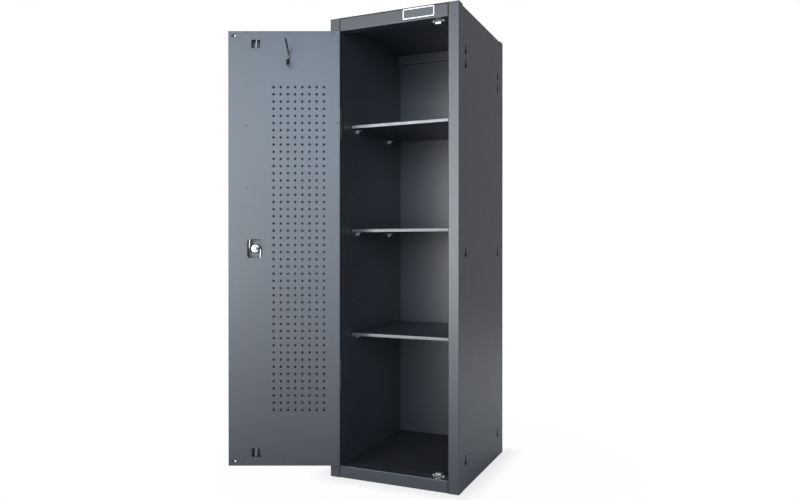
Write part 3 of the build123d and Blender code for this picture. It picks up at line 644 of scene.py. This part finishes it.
# The door's lining: a flat sheet punched with rows of round holes, a window at the lock and one at each
# rod's end. It is welded to the lips of the outer skin and coated with it.
swing = next(joint for joint in frame["joints"] if joint["name"] == "door_swing")
pin = Vector(swing["pos_m"])
opened = Matrix.Rotation(-math.radians(swing["range_deg"][1]), 4, "Z")
to_rest = Matrix.Translation(pin) @ opened @ Matrix.Translation(-pin)


def closed_corners(name):
    """The corners of a door node as it stands when the door is shut."""
    return [to_rest.inverted() @ vertex.co for vertex in nodes[name].data.vertices]


def closed_box(name):
    """The lowest and highest corner of a door node's box when the door is shut."""
    corners = closed_corners(name)
    low = Vector([min(corner[axis] for corner in corners) for axis in range(3)])
    return low, Vector([max(corner[axis] for corner in corners) for axis in range(3)])


skin_low, skin_high = closed_box("door_outer_skin")
lining_low, lining_high = closed_box("door_inner_panel")
lock_low, lock_high = closed_box("lock_body")
guide_low, guide_high = closed_box("upper_rod_guide")
lining_middle = (lining_low + lining_high) / 2
lining_size = lining_high - lining_low
lock_middle = (lock_low + lock_high) / 2
HOLE_COLUMNS, HOLE_ROWS = 8, 46
HOLE_PITCH = 19.7 * MM
HOLE_FROM_HINGE = 43.5 * MM
ROD_WINDOW_FROM_END = 36 * MM
field_width = (HOLE_COLUMNS - 1) * HOLE_PITCH
lining_inputs = {
    "Width": lining_size.x,
    "Height": lining_size.z,
    "Sheet": lining_size.y,
    "Hole radius": 3.4 * MM,
    "Hole sides": 16,
    "Columns": HOLE_COLUMNS,
    "Rows": HOLE_ROWS,
    "Field width": field_width,
    "Field height": (HOLE_ROWS - 1) * HOLE_PITCH,
    "Field place": skin_low.x + HOLE_FROM_HINGE + field_width / 2 - lining_middle.x,
    "Lock window width": 42 * MM,
    "Lock window height": 52 * MM,
    "Lock window corner": 9 * MM,
    "Lock place": lock_middle.x - lining_middle.x,
    "Rod window width": 24.5 * MM,
    "Rod window height": 23.5 * MM,
    "Rod place": (guide_low.x + guide_high.x) / 2 - lining_middle.x,
    "Rod height": skin_high.z - ROD_WINDOW_FROM_END - lining_middle.z,
    "Finish": powder_coat,
}
tree, sockets, output = node_group("punched_lining", lining_inputs)
edge = add(tree, "GeometryNodeCurvePrimitiveQuadrilateral", {
    "Width": sockets["Width"], "Height": sockets["Height"]})
field = add(tree, "GeometryNodeMeshGrid", {
    "Size X": sockets["Field width"], "Size Y": sockets["Field height"],
    "Vertices X": sockets["Columns"], "Vertices Y": sockets["Rows"]})
punch = add(tree, "GeometryNodeCurvePrimitiveCircle", {
    "Resolution": sockets["Hole sides"], "Radius": sockets["Hole radius"]})
holes = add(tree, "GeometryNodeInstanceOnPoints", {"Points": field.outputs[0], "Instance": punch.outputs[0]})
holes = add(tree, "GeometryNodeRealizeInstances", {"Geometry": holes.outputs[0]})
place = add(tree, "ShaderNodeCombineXYZ", {"X": sockets["Field place"]})
holes = add(tree, "GeometryNodeTransform", {"Geometry": holes.outputs[0], "Translation": place.outputs[0]})
window = add(tree, "GeometryNodeCurvePrimitiveQuadrilateral", {
    "Width": sockets["Lock window width"], "Height": sockets["Lock window height"]})
window = add(tree, "GeometryNodeFilletCurve", {
    "Curve": window.outputs[0], "Radius": sockets["Lock window corner"], "Count": 8}, mode="POLY")
place = add(tree, "ShaderNodeCombineXYZ", {"X": sockets["Lock place"]})
window = add(tree, "GeometryNodeTransform", {"Geometry": window.outputs[0], "Translation": place.outputs[0]})
outlines = [edge, holes, window]
for end in (-1, 1):
    height = add(tree, "ShaderNodeMath", {0: sockets["Rod height"], 1: end}, operation="MULTIPLY")
    place = add(tree, "ShaderNodeCombineXYZ", {"X": sockets["Rod place"], "Y": height.outputs[0]})
    window = add(tree, "GeometryNodeCurvePrimitiveQuadrilateral", {
        "Width": sockets["Rod window width"], "Height": sockets["Rod window height"]})
    outlines.append(add(tree, "GeometryNodeTransform", {
        "Geometry": window.outputs[0], "Translation": place.outputs[0]}))
end_sheet(tree, outlines, sockets, output)
lining = grow(tree, lining_inputs)
# The sheet is drawn flat, with X to the free edge and Y upwards, and is then stood up in the shut door.
lining.transform(to_rest @ Matrix.Translation((lining_middle.x, lining_high.y, lining_middle.z)) @ TO_FRONT)
piece("door_lining", lining, "door", ["door_inner_panel"])

# Spot welds on the lining: single marks along its edges and over the stiffener behind it.
# They are made by the same electrodes as those on the back, and stand out a little more.
OVER_STIFFENER = (-338 * MM, -168 * MM, 168 * MM, 338 * MM)
STIFFENER_INSET = 49 * MM
AT_HINGE = (-566 * MM, -345 * MM, 345 * MM, 566 * MM)
HINGE_INSET = 6 * MM
AT_ENDS = (50 * MM, 163 * MM, 289 * MM)
END_INSET = 5.5 * MM
marks = [(skin_high.x - STIFFENER_INSET, lining_middle.z + height) for height in OVER_STIFFENER]
marks += [(skin_low.x + HINGE_INSET, lining_middle.z + height) for height in AT_HINGE]
marks += [(skin_high.x - inset, z) for inset in AT_ENDS
          for z in (skin_low.z + END_INSET, skin_high.z - END_INSET)]
door_welds = grow(weld_tree, WELD_MARK, [((x, lining_high.y, z), ON_REAR) for x, z in marks])
door_welds.transform(to_rest)
piece("lining_weld_marks", door_welds, "door")

# The buffers: pads of black rubber at the door's free corners, each held by a bright rivet.
# Moulded rubber is matt and slightly grainy.
rubber, tree = new_material("moulded_black_rubber")
where = add(tree, "ShaderNodeTexCoord").outputs["Object"]
grit = add(tree, "ShaderNodeTexNoise", {"Vector": where, "Scale": 1 / (1.5 * MM), "Detail": 3.0})
shade = add(tree, "ShaderNodeMix", {
    "Factor": grit.outputs["Fac"], 6: linear("#0d0d0e"), 7: linear("#161618")}, data_type="RGBA")
relief = add(tree, "ShaderNodeBump", {"Height": grit.outputs["Fac"], "Strength": 0.3, "Distance": 0.05 * MM})
surface = add(tree, "ShaderNodeBsdfPrincipled", {
    "Base Color": shade.outputs[2], "Roughness": 0.85, "Normal": relief.outputs["Normal"]})
add(tree, "ShaderNodeOutputMaterial", {"Surface": surface.outputs[0]})
dress("buffer_rubber", rubber)
RIVET_PROFILE = ((0, 1.2), (1.2, 1.1), (2.1, 0.7), (2.6, 0.1), (2.6, -0.2), (0, -0.2))
RIVET_TO_HINGE = 4 * MM
RIVET_FROM_PAD_END = 3 * MM
pad_low, pad_high = closed_box("door_buffers")
rivet_x = (pad_low.x + pad_high.x) / 2 - RIVET_TO_HINGE
rivet_heights = (pad_low.z + RIVET_FROM_PAD_END, pad_high.z - RIVET_FROM_PAD_END)
rivets = set_out("buffer_rivet", turned("buffer_rivet", RIVET_PROFILE, 20), zinc, [
    ((rivet_x, pad_high.y, z), ON_REAR) for z in rivet_heights])
rivets.transform(to_rest)
piece("buffer_rivets", rivets, "door")

# The coat hook: one steel wire bent into a long arm above and a return hook below, with rounded ends.
# It is welded to a small plate and dipped in black lacquer, which is glossy and runs smooth.
lacquer = mottled("dipped_black_lacquer", 6 * MM, 1.0, ("#060607", "#0c0c0e"), (0.06, 0.12), {"IOR": 1.75})
# How wide the wire is near its end, and how far in, both as shares of its radius.
WIRE_END = ((0.6, 0.0), (0.9, 0.35), (1.0, 0.8))


def wire(name, points, radius):
    """A round wire along points, with a rounded end at each."""
    line = [Vector(point) for point in points]
    first = (line[1] - line[0]).normalized()
    last = (line[-1] - line[-2]).normalized()
    stations = [(line[0] + first * radius * along, wide) for wide, along in WIRE_END]
    stations += [(point, 1.0) for point in line[1:-1]]
    stations += [(line[-1] - last * radius * along, wide) for wide, along in reversed(WIRE_END)]
    curve = bpy.data.curves.new(name, "CURVE")
    curve.dimensions = "3D"
    curve.bevel_depth = radius
    curve.bevel_resolution = 3
    curve.use_fill_caps = True
    spline = curve.splines.new("POLY")
    spline.points.add(len(stations) - 1)
    for point, (place, wide) in zip(spline.points, stations):
        point.co = (*place, 1)
        point.radius = wide
    holder = bpy.data.objects.new(name, curve)
    scene.collection.objects.link(holder)
    depsgraph = bpy.context.evaluated_depsgraph_get()
    mesh = bpy.data.meshes.new_from_object(holder.evaluated_get(depsgraph), depsgraph=depsgraph)
    bpy.data.objects.remove(holder)
    # The caps come apart from the wire's skin and are joined to it.
    shape = bmesh.new()
    shape.from_mesh(mesh)
    bmesh.ops.remove_doubles(shape, verts=shape.verts, dist=SAME_POINT)
    bmesh.ops.recalc_face_normals(shape, faces=shape.faces)
    shape.to_mesh(mesh)
    shape.free()
    return mesh


def bent(start, knee, stop, steps=8):
    """Points round a bend from start to stop, drawn towards its knee."""
    shares = [step / steps for step in range(steps + 1)]
    return [start.lerp(knee, share).lerp(knee.lerp(stop, share), share) for share in shares]


HOOK_WIRE = 2.3 * MM
HOOK_STAND = 4.3 * MM
HOOK_ARM = (58 * MM, 20.5 * MM)
HOOK_DROP = 41 * MM
HOOK_TIP = (36 * MM, -23 * MM)
HOOK_BEND = 26 * MM
HOOK_STEPS = 16
HOOK_PLATE_CORNER = 3 * MM
plate_low, plate_high = closed_box("coat_hook_plate")
plate_size = plate_high - plate_low
hook_x = (plate_low.x + plate_high.x) / 2
hook_z = (plate_low.z + plate_high.z) / 2
knee = Vector((HOOK_STAND, 0))
slope = (Vector(HOOK_ARM) - knee).normalized()
profile = [Vector(HOOK_ARM), *bent(knee + slope * HOOK_BEND, knee, knee - Vector((0, HOOK_BEND)))]
bow = (HOOK_TIP[0] - HOOK_STAND) / 2
for step in range(HOOK_STEPS + 1):
    angle = math.pi * step / HOOK_STEPS
    profile.append(Vector((HOOK_STAND + bow - bow * math.cos(angle),
                           bow - bow * math.sin(angle) - HOOK_DROP)))
profile.append(Vector(HOOK_TIP))
hook_line = [(hook_x, lining_high.y + off, hook_z + rise) for off, rise in profile]
hook = wire("coat_hook_wire", hook_line, HOOK_WIRE)
hook.transform(to_rest)
piece("coat_hook_wire", hook, "door", ["coat_hook"], lacquer)
# The plate behind the wire is coated with the lining.
backing = plate("coat_hook_backing", rounded_outline(plate_size.x, plate_size.z, HOOK_PLATE_CORNER),
                0, plate_size.y)
backing.transform(to_rest @ Matrix.Translation((hook_x, plate_low.y, hook_z)) @ TO_REAR)
piece("coat_hook_backing", backing, "door", ["coat_hook_plate"], powder_coat)

# The lock outside: a turned bezel on the door's front and a die cast wing handle on its spindle.
# Both are brushed and then chrome plated, which gives a soft, pale shine.
chrome = mottled("satin_chrome_plate", 1.2 * MM, 2.0, ("#d2d4d7", "#c4c6ca"), (0.14, 0.26), METAL)
# Parts of the lock are turned on an axis that points into the room behind the door, from the door's front.
on_lock = Matrix.Translation((lock_middle.x, skin_low.y, lock_middle.z)) @ TO_REAR
BEZEL_PROFILE = ((7.05, 9.2), (9.4, 9.2), (9.5, 8.9), (9.5, 0), (14.6, 0), (15, -0.5), (15, -2), (14.3, -3.2),
                 (12.6, -3.9), (10, -4), (8, -3.7), (7.05, -3.2))
bezel = turned("lock_bezel", BEZEL_PROFILE, 48, ring=True)
bezel.transform(to_rest @ on_lock)
piece("lock_bezel", bezel, "door", ["lock_body"], chrome)
SPINDLE_PROFILE = ((0, 17.4), (3.6, 17.4), (4, 17), (4, 11.7), (7, 9.7), (7, -4.3), (11.5, -4.3), (12, -4.8),
                   (12, -8.4), (10.5, -9.3), (0, -9.3))
# The wing's length, width and depth at each section.
WING = ((44, 11, -9), (44, 11, -12), (43, 10.4, -20), (42, 9.6, -23.5), (39.5, 7.4, -25), (36, 4.6, -25.3))
sections = []
for long, wide, depth in WING:
    rounding = wide * MM / 2.05
    section = rounded_outline(long * MM, wide * MM, rounding, 8)
    sections.append([point + Vector((0, 0, depth * MM)) for point in section])
spindle = turned("handle_spindle", SPINDLE_PROFILE, 40)
handle = smooth(gathered("wing_handle", [spindle, swept("handle_wing", sections)]))
handle.transform(to_rest @ on_lock)
piece("wing_handle", handle, "lock_cam", ["turn_handle"], chrome)

# The lock inside: a hexagon ring nut and a cam, both blackened, with a bright domed nut that clamps the cam.
# The black oxide is thin and slightly metallic, while the domed nut is turned and zinc plated.
oxide = mottled("black_oxide_steel", 5 * MM, 3.0, ("#141517", "#1d1e21"), (0.4, 0.52), {"Metallic": 0.5})
RING_NUT_ACROSS = 24 * MM
RING_NUT_DEPTH = (1 * MM, 5 * MM)
CAM = (46 * MM, 15 * MM, 7 * MM)
CAM_DEPTH = (9.7 * MM, 11.7 * MM)
# A washer's tab is bent up over the nut's flank on the hinge side. Its black is partly painted shade on that
# flank.
WASHER_TAB = (8.5 * MM, 8 * MM, 1.5 * MM)
WASHER_TAB_DEPTH = (11.5 * MM, 17.5 * MM)
WASHER_TAB_FROM_SPINDLE = 7.6 * MM
NUT_PROFILE = ((4.1, 16.4), (4.5, 16.9), (5.2, 16.9), (7.6, 14.8), (8.2, 14.5), (9.7, 14.4), (10.1, 13.9),
               (10.1, 12.2), (9.7, 11.7), (4.1, 11.7))
corner = RING_NUT_ACROSS / math.sqrt(3)
angles = [math.pi / 3 * side for side in range(6)]
hexagon = [Vector((corner * math.cos(angle), corner * math.sin(angle), 0)) for angle in angles]
ring_nut = plate("lock_ring_nut", hexagon, *RING_NUT_DEPTH)
ring_nut.transform(to_rest @ on_lock)
piece("lock_ring_nut", ring_nut, "door", ["lock_nut"], oxide)
cam_sheet = plate("cam_sheet", rounded_outline(*CAM, 10), *CAM_DEPTH)
tab = plate("washer_tab", rounded_outline(*WASHER_TAB), *WASHER_TAB_DEPTH)
tab.transform(Matrix.Translation((-WASHER_TAB_FROM_SPINDLE, 0, 0)))
cam = smooth(gathered("lock_cam_arm", [cam_sheet, tab]))
cam.transform(to_rest @ on_lock)
piece("lock_cam_arm", cam, "lock_cam", ["lock_cam_plate"], oxide)
nut = turned("cam_clamp_nut", NUT_PROFILE, 40, ring=True)
nut.transform(to_rest @ on_lock)
piece("cam_clamp_nut", nut, "lock_cam", ["cam_nut"], zinc)

# The lock rods: drawn steel rod, bent through a hole of the cam and headed behind it.
# Their plating is thin and dull, with faint lines along the drawing.
# Guides of moulded nylon, milky and slightly glossy, hold their far ends.
drawn = mottled("dull_zinc_drawn_steel", 1 * MM, 2.0, ("#9a9b9c", "#868789"), (0.32, 0.44), METAL,
                stretch=(1, 1, 0.05))
nylon = mottled("natural_nylon", 8 * MM, 2.0, ("#dedcd2", "#d2d0c6"), (0.48, 0.48), {"IOR": 1.53})
dress("nylon", nylon)
ROD_RADIUS = 2.75 * MM
ROD_DEPTH = 14.8 * MM
ROD_BEND = 4 * MM
ROD_TIP = 0.4 * MM
PIN_DEPTH = 7.7 * MM
PIN_FROM_SPINDLE = 15.5 * MM
HEAD_PROFILE = ((0, 6.2), (3.4, 6.2), (4, 6.8), (4, 7.5), (3.7, 7.9), (0, 7.9))
for end, side in (("upper", 1), ("lower", -1)):
    name = f"{end}_lock_rod"
    corners = closed_corners(name)
    limit = max(side * corner.z for corner in corners)
    ring = [corner for corner in corners if side * corner.z > limit - ROD_TIP]
    tip = sum(ring, Vector()) / len(ring)
    pin_x = lock_middle.x + side * PIN_FROM_SPINDLE
    knee = Vector((pin_x, skin_low.y + ROD_DEPTH, lock_middle.z))
    line = [Vector((pin_x, skin_low.y + PIN_DEPTH, lock_middle.z))]
    line += bent(knee - Vector((0, ROD_BEND, 0)), knee, knee + (tip - knee).normalized() * ROD_BEND)
    line.append(tip)
    head = turned("rod_head", HEAD_PROFILE, 24)
    head.transform(Matrix.Translation((pin_x, skin_low.y, lock_middle.z)) @ TO_REAR)
    rod = smooth(gathered(f"{end}_rod", [wire(name, line, ROD_RADIUS), head]))
    rod.transform(to_rest)
    piece(f"{end}_rod", rod, f"{end}_rod", [name], drawn)
